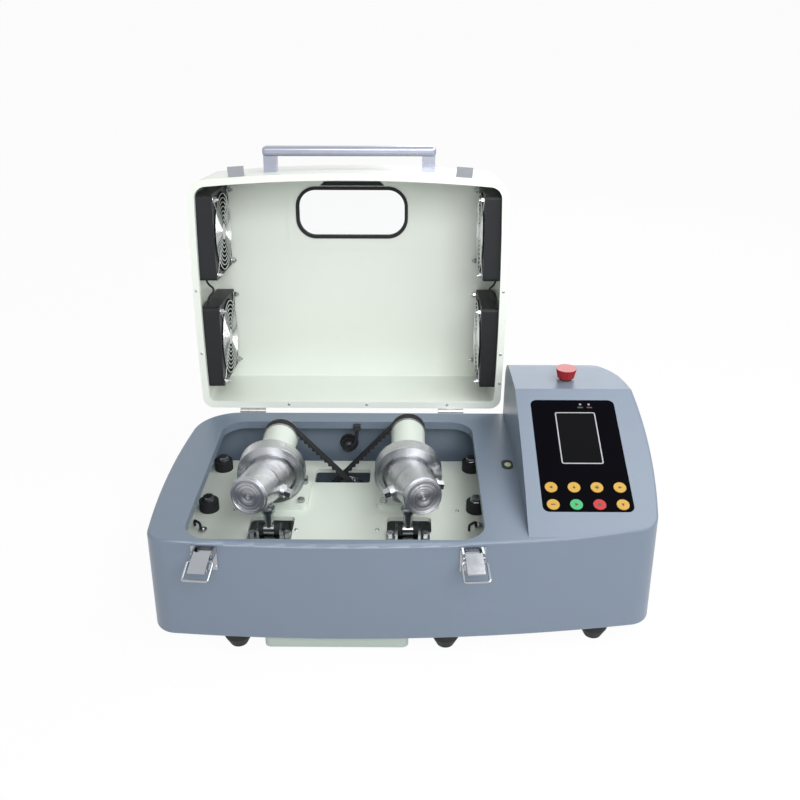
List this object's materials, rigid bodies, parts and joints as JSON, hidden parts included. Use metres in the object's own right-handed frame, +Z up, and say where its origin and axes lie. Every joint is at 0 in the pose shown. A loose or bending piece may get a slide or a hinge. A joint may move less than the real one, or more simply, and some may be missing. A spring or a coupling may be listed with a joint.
{
  "type": "vibratory ball mill",
  "caption": "Bench mill with jar arms swung by belt-driven skewed journals under a hinged, fan-cooled, windowed lid, with a sloping control console beside it.",
  "frame": {"origin": "middle of the footprint's bounding box, lid open, at the bottom of the feet", "axes": "+X to the console's side, +Y to the hinge side, +Z up"},
  "size_m": [0.6174, 0.549, 0.5203],
  "materials": {
    "base_paint": "satin blue-grey paint",
    "cream_paint": "satin cream paint",
    "black_rubber": "matt",
    "zinc_steel": "bright fasteners",
    "motor_paint": "dark grey enamel",
    "rotor_steel": "turned",
    "cast_cream": "satin cream paint over a casting",
    "bearing_steel": "polished",
    "machined_aluminium": "satin turned",
    "jar_steel": "fine turned",
    "black_plastic": "matt",
    "panel_film": "satin film",
    "display_glass": "glossy unlit display",
    "yellow_key": "satin",
    "green_key": "satin",
    "red_key": "satin",
    "red_plastic": "gloss",
    "clear_pane": "clear",
    "satin_handle": "satin anodised",
    "latch_chrome": "bright plate",
    "guard_wire": "bright wire",
    "sensor_plastic": "gloss"
  },
  "bodies": {
    "frame": {"base_shell": "base_paint", "base_pan": "cream_paint", "rubber_feet": "black_rubber", "mill_plate": "cream_paint", "rubber_mounts": "black_rubber", "plate_screws": "zinc_steel", "motor_housing": "motor_paint", "drive_belts": "black_rubber", "shaft_bearings": "bearing_steel", "reaction_links": "rotor_steel", "lid_cable": "black_rubber", "console_panel": "panel_film", "display_window": "display_glass", "estop_base": "black_plastic", "lid_sensor": "sensor_plastic", "power_inlet": "black_plastic", "hinge_base_leaves": "zinc_steel", "latch_plates": "latch_chrome", "left_pedestal": "cast_cream", "right_pedestal": "cast_cream"},
    "lid": {"lid_shell": "cream_paint", "lid_window": "clear_pane", "window_gasket": "black_rubber", "lid_handle": "satin_handle", "hinge_lid_leaves": "zinc_steel", "latch_keepers": "latch_chrome", "fan_leads": "black_rubber", "fan_frames": "black_plastic", "fan_guards": "guard_wire"},
    "left_lever": {"left_latch_lever": "latch_chrome"},
    "right_lever": {"right_latch_lever": "latch_chrome"},
    "left_bail": {"left_latch_bail": "latch_chrome"},
    "right_bail": {"right_latch_bail": "latch_chrome"},
    "stop_button": {"estop_stem": "black_plastic"},
    "stop_cap": {"estop_head": "red_plastic"},
    "rocker": {"power_switch": "black_plastic"},
    "motor": {"motor_rotor": "rotor_steel", "motor_pulley": "machined_aluminium"},
    "left_crank": {"left_shaft": "rotor_steel", "left_pulley": "machined_aluminium"},
    "right_crank": {"right_shaft": "rotor_steel", "right_pulley": "machined_aluminium"},
    "left_arm": {"left_holder": "machined_aluminium", "left_clamp_screws": "zinc_steel", "left_jar": "jar_steel"},
    "right_arm": {"right_holder": "machined_aluminium", "right_clamp_screws": "zinc_steel", "right_jar": "jar_steel"},
    "fan_rotor_left_rear_body": {"fan_rotor_left_rear": "black_plastic"},
    "fan_rotor_left_front_body": {"fan_rotor_left_front": "black_plastic"},
    "fan_rotor_right_rear_body": {"fan_rotor_right_rear": "black_plastic"},
    "fan_rotor_right_front_body": {"fan_rotor_right_front": "black_plastic"},
    "key_upper_1_body": {"key_upper_1": "yellow_key"},
    "key_upper_2_body": {"key_upper_2": "yellow_key"},
    "key_upper_3_body": {"key_upper_3": "yellow_key"},
    "key_upper_4_body": {"key_upper_4": "yellow_key"},
    "key_lower_1_body": {"key_lower_1": "yellow_key"},
    "key_lower_2_body": {"key_lower_2": "green_key"},
    "key_lower_3_body": {"key_lower_3": "red_key"},
    "key_lower_4_body": {"key_lower_4": "yellow_key"}
  },
  "joints": [
    {"name": "lid_hinge", "type": "hinge", "parent": "frame", "child": "lid", "pos_m": [-0.079, 0.10806, 0.1545], "axis": [1, 0, 0], "range_deg": [0, 95.5]},
    {"name": "fan_left_rear_spin", "type": "hinge", "parent": "lid", "child": "fan_rotor_left_rear_body", "pos_m": [-0.2788, 0.18695, 0.24033], "axis": [1, 0, 0], "continuous": true},
    {"name": "fan_left_front_spin", "type": "hinge", "parent": "lid", "child": "fan_rotor_left_front_body", "pos_m": [-0.2788, 0.2021, 0.39761], "axis": [1, 0, 0], "continuous": true},
    {"name": "fan_right_rear_spin", "type": "hinge", "parent": "lid", "child": "fan_rotor_right_rear_body", "pos_m": [0.1208, 0.18695, 0.24033], "axis": [1, 0, 0], "continuous": true},
    {"name": "fan_right_front_spin", "type": "hinge", "parent": "lid", "child": "fan_rotor_right_front_body", "pos_m": [0.1208, 0.2021, 0.39761], "axis": [1, 0, 0], "continuous": true},
    {"name": "left_latch_lever_hinge", "type": "hinge", "parent": "frame", "child": "left_lever", "pos_m": [-0.2296, -0.23862, 0.14318], "axis": [0.9977, -0.0682, 0], "range_deg": [0, 72]},
    {"name": "left_latch_bail_hinge", "type": "hinge", "parent": "left_lever", "child": "left_bail", "pos_m": [-0.23013, -0.2463, 0.141], "axis": [-0.9977, 0.0682, 0], "range_deg": [0, 130]},
    {"name": "right_latch_lever_hinge", "type": "hinge", "parent": "frame", "child": "right_lever", "pos_m": [0.07863, -0.23813, 0.14318], "axis": [0.9975, 0.0714, 0], "range_deg": [0, 72]},
    {"name": "right_latch_bail_hinge", "type": "hinge", "parent": "right_lever", "child": "right_bail", "pos_m": [0.07918, -0.2458, 0.141], "axis": [-0.9975, -0.0714, 0], "range_deg": [0, 130]},
    {"name": "stop_push", "type": "slide", "parent": "frame", "child": "stop_button", "axis": [0, 0, -1], "range_m": [0, 0.003], "stiffness_N_per_m": 1200},
    {"name": "stop_twist", "type": "hinge", "parent": "stop_button", "child": "stop_cap", "pos_m": [0.215, 0.02706, 0.243], "axis": [0, 0, -1], "range_deg": [0, 30], "stiffness_Nm_per_rad": 0.05},
    {"name": "key_upper_1_push", "type": "slide", "parent": "frame", "child": "key_upper_1_body", "axis": [0, 0.3746, -0.9272], "range_m": [0, 0.0006], "stiffness_N_per_m": 1500},
    {"name": "key_upper_2_push", "type": "slide", "parent": "frame", "child": "key_upper_2_body", "axis": [0, 0.3746, -0.9272], "range_m": [0, 0.0006], "stiffness_N_per_m": 1500},
    {"name": "key_upper_3_push", "type": "slide", "parent": "frame", "child": "key_upper_3_body", "axis": [0, 0.3746, -0.9272], "range_m": [0, 0.0006], "stiffness_N_per_m": 1500},
    {"name": "key_upper_4_push", "type": "slide", "parent": "frame", "child": "key_upper_4_body", "axis": [0, 0.3746, -0.9272], "range_m": [0, 0.0006], "stiffness_N_per_m": 1500},
    {"name": "key_lower_1_push", "type": "slide", "parent": "frame", "child": "key_lower_1_body", "axis": [0, 0.3746, -0.9272], "range_m": [0, 0.0006], "stiffness_N_per_m": 1500},
    {"name": "key_lower_2_push", "type": "slide", "parent": "frame", "child": "key_lower_2_body", "axis": [0, 0.3746, -0.9272], "range_m": [0, 0.0006], "stiffness_N_per_m": 1500},
    {"name": "key_lower_3_push", "type": "slide", "parent": "frame", "child": "key_lower_3_body", "axis": [0, 0.3746, -0.9272], "range_m": [0, 0.0006], "stiffness_N_per_m": 1500},
    {"name": "key_lower_4_push", "type": "slide", "parent": "frame", "child": "key_lower_4_body", "axis": [0, 0.3746, -0.9272], "range_m": [0, 0.0006], "stiffness_N_per_m": 1500},
    {"name": "power_rocker", "type": "hinge", "parent": "frame", "child": "rocker", "pos_m": [0.245, 0.10174, 0.092], "axis": [-1, 0, 0], "range_deg": [0, 16]},
    {"name": "motor_spin", "type": "hinge", "parent": "frame", "child": "motor", "pos_m": [-0.0845, -0.04494, 0.04331], "axis": [0, 1, 0], "continuous": true},
    {"name": "left_crank_spin", "type": "hinge", "parent": "frame", "child": "left_crank", "pos_m": [-0.173, -0.06294, 0.154], "axis": [0, 1, 0], "continuous": true},
    {"name": "left_arm_swing", "type": "hinge", "parent": "left_crank", "child": "left_arm", "pos_m": [-0.173, -0.06294, 0.154], "axis": [0, 0.9976, 0.0698], "continuous": true},
    {"name": "right_crank_spin", "type": "hinge", "parent": "frame", "child": "right_crank", "pos_m": [0.004, -0.06294, 0.154], "axis": [0, 1, 0], "continuous": true},
    {"name": "right_arm_swing", "type": "hinge", "parent": "right_crank", "child": "right_arm", "pos_m": [0.004, -0.06294, 0.154], "axis": [0, 0.9976, 0.0698], "continuous": true}
  ],
  "couplings": [
    {"joint": "left_crank_spin", "follows": "motor_spin", "ratio": 1.4118},
    {"joint": "left_arm_swing", "follows": "motor_spin", "ratio": -1.4118},
    {"joint": "right_crank_spin", "follows": "motor_spin", "ratio": 1.4118},
    {"joint": "right_arm_swing", "follows": "motor_spin", "ratio": -1.4118}
  ]
}
